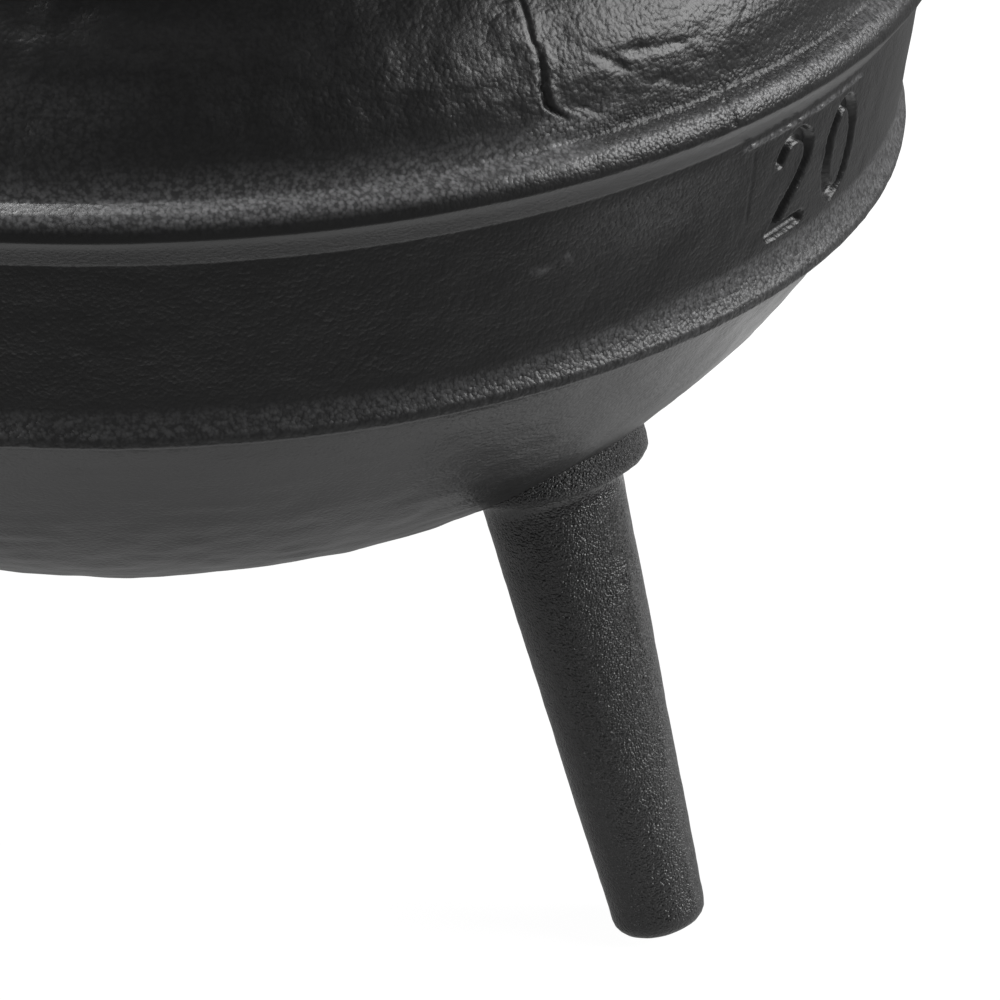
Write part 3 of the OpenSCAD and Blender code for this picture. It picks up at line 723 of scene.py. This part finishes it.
def ironFinish(name, base, wearAndGlintColour, roughness, coarse, fine, depth, beadSize=0.42, pits=0.4, streaks=0.0, edgeRub=0.1,
               metal=0.0, shine=0.5):
    # black iron: grain from the piece's own coarse and fine attributes; its tips are lightened where the vertex
    # attribute asks, partly as rubbed bare iron and partly as painted glints
    material = bpy.data.materials.new(name)
    material.use_nodes = True
    tree = material.node_tree
    tree.nodes.clear()
    out = tree.nodes.new("ShaderNodeOutputMaterial")
    shader = tree.nodes.new("ShaderNodeBsdfPrincipled")
    tree.links.new(shader.outputs["BSDF"], out.inputs["Surface"])
    shader.inputs["Metallic"].default_value = metal
    shader.inputs["Specular IOR Level"].default_value = shine
    place = tree.nodes.new("ShaderNodeTexCoord").outputs["Object"]
    given = {key: addNode(tree, "ShaderNodeAttribute", {"attribute_name": key}).outputs["Fac"]
             for key in ("coarse", "fine", "worn")}
    skin = tree.nodes.new("ShaderNodeGroup")
    skin.node_tree = sandGrain
    oil = tree.nodes.new("ShaderNodeGroup")
    oil.node_tree = seasoning
    for group in (skin, oil):
        tree.links.new(place, group.inputs["Place"])
    skin.inputs["Bead Size"].default_value = beadSize
    wire(tree, calc(tree, "MULTIPLY", given["coarse"], coarse), skin.inputs["Coarse"])
    wire(tree, calc(tree, "MULTIPLY", given["fine"], fine), skin.inputs["Fine"])
    wire(tree, calc(tree, "MULTIPLY", given["coarse"], pits), skin.inputs["Pits"])
    oil.inputs["Streaks"].default_value = streaks
    oil.inputs["Edge Rub"].default_value = edgeRub
    mix = addNode(tree, "ShaderNodeMix", {"data_type": "RGBA"})
    mix.inputs[6].default_value = (*base, 1)
    mix.inputs[7].default_value = (*wearAndGlintColour, 1)
    # painted glint: the grain's tips take the lighter colour, partly as rubbed iron and partly as glints painted into
    # the colour
    tips = calc(tree, "MULTIPLY", calc(tree, "MULTIPLY_ADD", skin.outputs["Tips"], 0.75, 0.25), given["worn"])
    tone = calc(tree, "MULTIPLY_ADD", oil.outputs["Dry"], 0.02, calc(tree, "ADD", tips, oil.outputs["Rub"]))
    tree.links.new(calc(tree, "MINIMUM", tone, 1.0), mix.inputs[0])
    tree.links.new(mix.outputs[2], shader.inputs["Base Color"])
    gloss = remap(tree, oil.outputs["Dry"], 0.0, 1.4, roughness[0], roughness[1])
    gloss = calc(tree, "MULTIPLY_ADD", calc(tree, "ADD", given["coarse"], given["fine"]), 0.11, gloss)
    tree.links.new(gloss, shader.inputs["Roughness"])
    bump = tree.nodes.new("ShaderNodeBump")
    bump.inputs["Strength"].default_value = 1.0
    bump.inputs["Distance"].default_value = depth * mm
    tree.links.new(skin.outputs["Height"], bump.inputs["Height"])
    tree.links.new(bump.outputs["Normal"], shader.inputs["Normal"])
    return material


black, wearAndGlintGrey = (0.0045, 0.0045, 0.0047), (0.17, 0.17, 0.173)
potIron = ironFinish("potIron", black, wearAndGlintGrey, (0.27, 0.36), 0.50, 0.8, 0.10, streaks=0.4, edgeRub=0.05)
legIron = ironFinish("legIron", black, wearAndGlintGrey, (0.16, 0.24), 0.6, 1.3, 0.10, beadSize=0.28, shine=0.6)
lidIron = ironFinish("lidIron", black, wearAndGlintGrey, (0.36, 0.44), 0.55, 0.9, 0.10)
bailSteel = ironFinish("bailSteel", (0.030, 0.029, 0.029), (0.10, 0.098, 0.095), (0.30, 0.42), 0.6, 0.6, 0.04, edgeRub=0.7,
                       metal=0.35)

for piece in [potBowl]:
    piece.data.materials.append(potIron)
for piece in legs + ears:
    piece.data.materials.append(legIron)
for piece in [lidDome, lidHandle]:
    piece.data.materials.append(lidIron)
bailRod.data.materials.append(bailSteel)
print("finishes done")


# floor, light and camera

studio = dict(
    floorSize=6.0, floorColour=0.12, floorLift=0.97, underGleam=0.38, rimGleam=1.0,
    outerGleam=0.13,
    skyLight=0.10, backGleam=0.25, topLamp=8.4, rightLamp=10.0, leftLamp=2.2,
)


def makeStage():
    bm = bmesh.new()
    bmesh.ops.create_grid(bm, x_segments=1, y_segments=1, size=studio["floorSize"] / 2)
    mesh = bpy.data.meshes.new("floor")
    bm.to_mesh(mesh)
    bm.free()
    floor = bpy.data.objects.new("floor", mesh)
    bpy.context.scene.collection.objects.link(floor)
    material = bpy.data.materials.new("paleFloor")
    material.use_nodes = True
    tree = material.node_tree
    tree.nodes.clear()
    out = tree.nodes.new("ShaderNodeOutputMaterial")
    cloth = tree.nodes.new("ShaderNodeBsdfDiffuse")
    cloth.inputs["Color"].default_value = (studio["floorColour"],) * 3 + (1,)
    glow = tree.nodes.new("ShaderNodeEmission")
    rays = tree.nodes.new("ShaderNodeLightPath")
    seen = calc(tree, "MAXIMUM", rays.outputs["Is Camera Ray"], rays.outputs["Is Transmission Ray"])
    # painted reflection: for reflected rays only the floor glows, dim under the pot, brightest in a ring round it and
    # faint farther out
    spot = addNode(tree, "ShaderNodeVectorMath", {"operation": "MULTIPLY"})
    tree.links.new(tree.nodes.new("ShaderNodeTexCoord").outputs["Object"], spot.inputs[0])
    spot.inputs[1].default_value = (1.25, 1.18, 1)
    away = addNode(tree, "ShaderNodeVectorMath", {"operation": "DISTANCE"})
    tree.links.new(spot.outputs["Vector"], away.inputs[0])
    away.inputs[1].default_value = (0.0, 0.024, 0)
    gleam = remap(tree, away.outputs["Value"], 0.145, 0.22, studio["rimGleam"], studio["outerGleam"])
    inner = remap(tree, away.outputs["Value"], 0.11, 0.135, studio["underGleam"], studio["rimGleam"])
    gleam = calc(tree, "MULTIPLY", rays.outputs["Is Glossy Ray"], calc(tree, "MINIMUM", gleam, inner))
    tree.links.new(calc(tree, "MAXIMUM", calc(tree, "MULTIPLY", seen, studio["floorLift"]), gleam), glow.inputs["Strength"])
    both = tree.nodes.new("ShaderNodeAddShader")
    tree.links.new(cloth.outputs[0], both.inputs[0])
    tree.links.new(glow.outputs[0], both.inputs[1])
    tree.links.new(both.outputs[0], out.inputs["Surface"])
    floor.data.materials.append(material)

    world = bpy.data.worlds.new("studioWorld")
    bpy.context.scene.world = world
    world.use_nodes = True
    tree = world.node_tree
    tree.nodes.clear()
    out = tree.nodes.new("ShaderNodeOutputWorld")
    back = tree.nodes.new("ShaderNodeBackground")
    rays = tree.nodes.new("ShaderNodeLightPath")
    # white to the camera, and a dim pale wall low down in reflections
    seen = calc(tree, "MAXIMUM", rays.outputs["Is Camera Ray"], rays.outputs["Is Transmission Ray"])
    upwards = addNode(tree, "ShaderNodeSeparateXYZ", Vector=tree.nodes.new("ShaderNodeTexCoord").outputs["Generated"])
    wall = remap(tree, upwards.outputs["Z"], 0.05, 0.35, studio["backGleam"], 0.0)
    wall = calc(tree, "MULTIPLY", wall, rays.outputs["Is Glossy Ray"])
    tree.links.new(calc(tree, "MAXIMUM", seen, calc(tree, "MAXIMUM", wall, studio["skyLight"])), back.inputs["Strength"])
    tree.links.new(back.outputs[0], out.inputs["Surface"])


def addLamp(name, place, target, size, power):
    light = bpy.data.lights.new(name, "AREA")
    light.shape = "RECTANGLE"
    light.size, light.size_y = size
    light.energy = power
    lamp = bpy.data.objects.new(name, light)
    bpy.context.scene.collection.objects.link(lamp)
    lamp.location = place
    lamp.rotation_euler = (Vector(target) - Vector(place)).to_track_quat("-Z", "Y").to_euler()
    return lamp


def makeCamera():
    data = bpy.data.cameras.new("photoCamera")
    camera = bpy.data.objects.new("photoCamera", data)
    bpy.context.scene.collection.objects.link(camera)
    data.sensor_width = 36
    data.lens = 211.5
    camera.location = (99.4 * mm, -642.3 * mm, 377.3 * mm)
    camera.rotation_euler = (math.radians(62.2), 0, math.radians(4.96))
    bpy.context.scene.camera = camera


makeStage()
addLamp("topLamp", (-0.09, 0.11, 1.0), (0.0, 0.0, 0.12), (0.68, 0.2), studio["topLamp"])
addLamp("rightLamp", (0.93, 0.03, 0.50), (0, 0, 0.12), (0.6, 0.55), studio["rightLamp"])
addLamp("leftLamp", (-0.65, -0.62, 0.45), (0, 0, 0.12), (0.5, 0.35), studio["leftLamp"])
makeCamera()
bpy.context.scene.view_settings.view_transform = "Standard"
print("stage, lamps and camera done")
